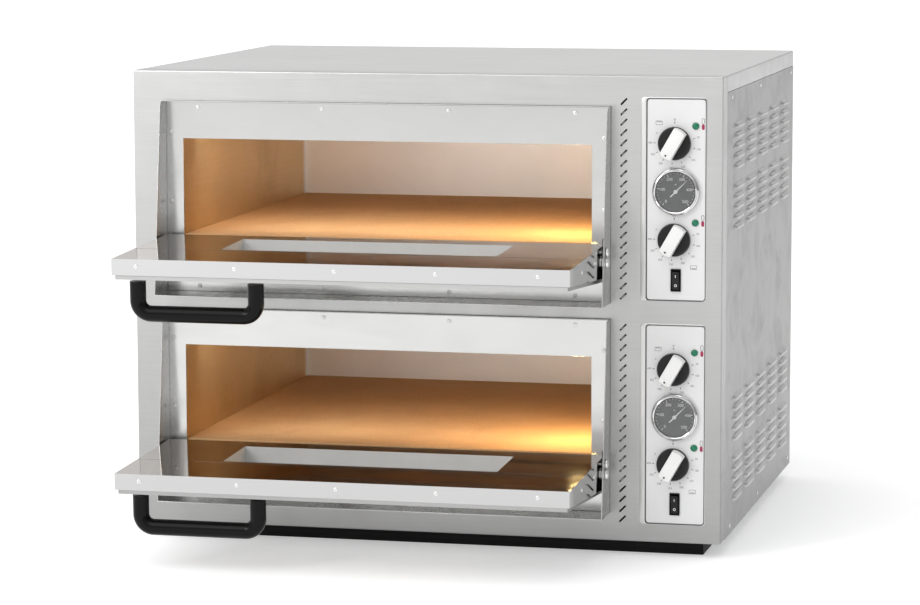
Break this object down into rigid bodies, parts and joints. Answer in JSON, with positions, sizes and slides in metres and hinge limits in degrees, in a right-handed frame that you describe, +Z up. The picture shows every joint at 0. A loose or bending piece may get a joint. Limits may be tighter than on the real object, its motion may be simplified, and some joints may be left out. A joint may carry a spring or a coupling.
{
  "type": "countertop pizza oven",
  "caption": "Electric stone-floor oven with stacked baking chambers, drop-down windowed doors, dial thermometers, rotary heat knobs and rocker switches.",
  "frame": {"origin": "centre of the casing's footprint, on the underside of the black plinth", "axes": "+X to the oven's right seen from the front, +Y from the doors to the back, +Z up"},
  "size_m": [0.906, 1.0244, 0.712],
  "materials": {
    "casing_steel": "satin brushed stainless steel",
    "polished_steel": "mirror-polished stainless steel",
    "chamber_steel": "sheet steel, heat-tanned orange brown",
    "refractory_stone": "fine refractory stone, matte",
    "mineral_wool": "mineral wool blanket",
    "heater_alloy": "dark oxidised alloy sheath",
    "lamp_glass": "warm lit lamp glass",
    "door_glass": "clear heat-resistant glass",
    "black_plastic": "glossy black moulded plastic",
    "black_paint": "black painted steel",
    "control_plate": "white-silver printed panel",
    "knob_plastic": "black skirt with a white grip bar",
    "white_plastic": "white painted needle",
    "gauge_metal": "bright bezel round a grey dial",
    "green_lens": "green indicator lens"
  },
  "bodies": {
    "casing": {"base_pan": "casing_steel", "cable_gland": "black_plastic", "casing_back_panel": "casing_steel", "casing_front_panel": "casing_steel", "casing_left_panel": "casing_steel", "casing_lid": "casing_steel", "casing_right_panel": "casing_steel", "control_bay_wall": "casing_steel", "lower_baking_stone": "refractory_stone", "lower_bottom_heater": "heater_alloy", "lower_bottom_pilot_lamp": "green_lens", "lower_bottom_thermostat": "heater_alloy", "lower_chamber": "chamber_steel", "lower_collar": "casing_steel", "lower_control_plate": "control_plate", "lower_insulation": "mineral_wool", "lower_left_hinge_pin": "polished_steel", "lower_mouth_frame": "polished_steel", "lower_oven_lamp": "lamp_glass", "lower_right_hinge_pin": "polished_steel", "lower_switch_housing": "black_plastic", "lower_thermometer_case": "gauge_metal", "lower_top_heater": "heater_alloy", "lower_top_pilot_lamp": "green_lens", "lower_top_thermostat": "heater_alloy", "plinth": "black_paint", "upper_baking_stone": "refractory_stone", "upper_bottom_heater": "heater_alloy", "upper_bottom_pilot_lamp": "green_lens", "upper_bottom_thermostat": "heater_alloy", "upper_chamber": "chamber_steel", "upper_collar": "casing_steel", "upper_control_plate": "control_plate", "upper_insulation": "mineral_wool", "upper_left_hinge_pin": "polished_steel", "upper_mouth_frame": "polished_steel", "upper_oven_lamp": "lamp_glass", "upper_right_hinge_pin": "polished_steel", "upper_switch_housing": "black_plastic", "upper_thermometer_case": "gauge_metal", "upper_top_heater": "heater_alloy", "upper_top_pilot_lamp": "green_lens", "upper_top_thermostat": "heater_alloy"},
    "lower_door": {"lower_door_inner": "polished_steel", "lower_door_skin": "casing_steel", "lower_door_glass": "door_glass", "lower_door_handle": "black_plastic"},
    "lower_top_knob": {"lower_top_heat_knob": "knob_plastic"},
    "lower_bottom_knob": {"lower_bottom_heat_knob": "knob_plastic"},
    "lower_needle": {"lower_thermometer_needle": "white_plastic"},
    "lower_rocker": {"lower_power_rocker": "black_plastic"},
    "upper_door": {"upper_door_inner": "polished_steel", "upper_door_skin": "casing_steel", "upper_door_glass": "door_glass", "upper_door_handle": "black_plastic"},
    "upper_top_knob": {"upper_top_heat_knob": "knob_plastic"},
    "upper_bottom_knob": {"upper_bottom_heat_knob": "knob_plastic"},
    "upper_needle": {"upper_thermometer_needle": "white_plastic"},
    "upper_rocker": {"upper_power_rocker": "black_plastic"}
  },
  "joints": [
    {"name": "lower_door_hinge", "type": "hinge", "parent": "casing", "child": "lower_door", "pos_m": [-0.058, -0.3965, 0.1275], "axis": [-1, 0, 0], "range_deg": [0, 92]},
    {"name": "lower_top_knob_turn", "type": "hinge", "parent": "casing", "child": "lower_top_knob", "pos_m": [0.3787, -0.372, 0.2812], "axis": [0, 1, 0], "range_deg": [-210, 60]},
    {"name": "lower_bottom_knob_turn", "type": "hinge", "parent": "casing", "child": "lower_bottom_knob", "pos_m": [0.3787, -0.372, 0.1397], "axis": [0, 1, 0], "range_deg": [-210, 60]},
    {"name": "lower_needle_swing", "type": "hinge", "parent": "casing", "child": "lower_needle", "pos_m": [0.3815, -0.3675, 0.211], "axis": [0, 1, 0], "range_deg": [-180, 90]},
    {"name": "lower_rocker_tilt", "type": "hinge", "parent": "casing", "child": "lower_rocker", "pos_m": [0.3815, -0.362, 0.0805], "axis": [-1, 0, 0], "range_deg": [0, 16]},
    {"name": "upper_door_hinge", "type": "hinge", "parent": "casing", "child": "upper_door", "pos_m": [-0.058, -0.3965, 0.441], "axis": [-1, 0, 0], "range_deg": [0, 92]},
    {"name": "upper_top_knob_turn", "type": "hinge", "parent": "casing", "child": "upper_top_knob", "pos_m": [0.3787, -0.372, 0.6142], "axis": [0, 1, 0], "range_deg": [-210, 60]},
    {"name": "upper_bottom_knob_turn", "type": "hinge", "parent": "casing", "child": "upper_bottom_knob", "pos_m": [0.3787, -0.372, 0.4727], "axis": [0, 1, 0], "range_deg": [-210, 60]},
    {"name": "upper_needle_swing", "type": "hinge", "parent": "casing", "child": "upper_needle", "pos_m": [0.3815, -0.3675, 0.544], "axis": [0, 1, 0], "range_deg": [-180, 90]},
    {"name": "upper_rocker_tilt", "type": "hinge", "parent": "casing", "child": "upper_rocker", "pos_m": [0.3815, -0.362, 0.4135], "axis": [-1, 0, 0], "range_deg": [0, 16]}
  ]
}
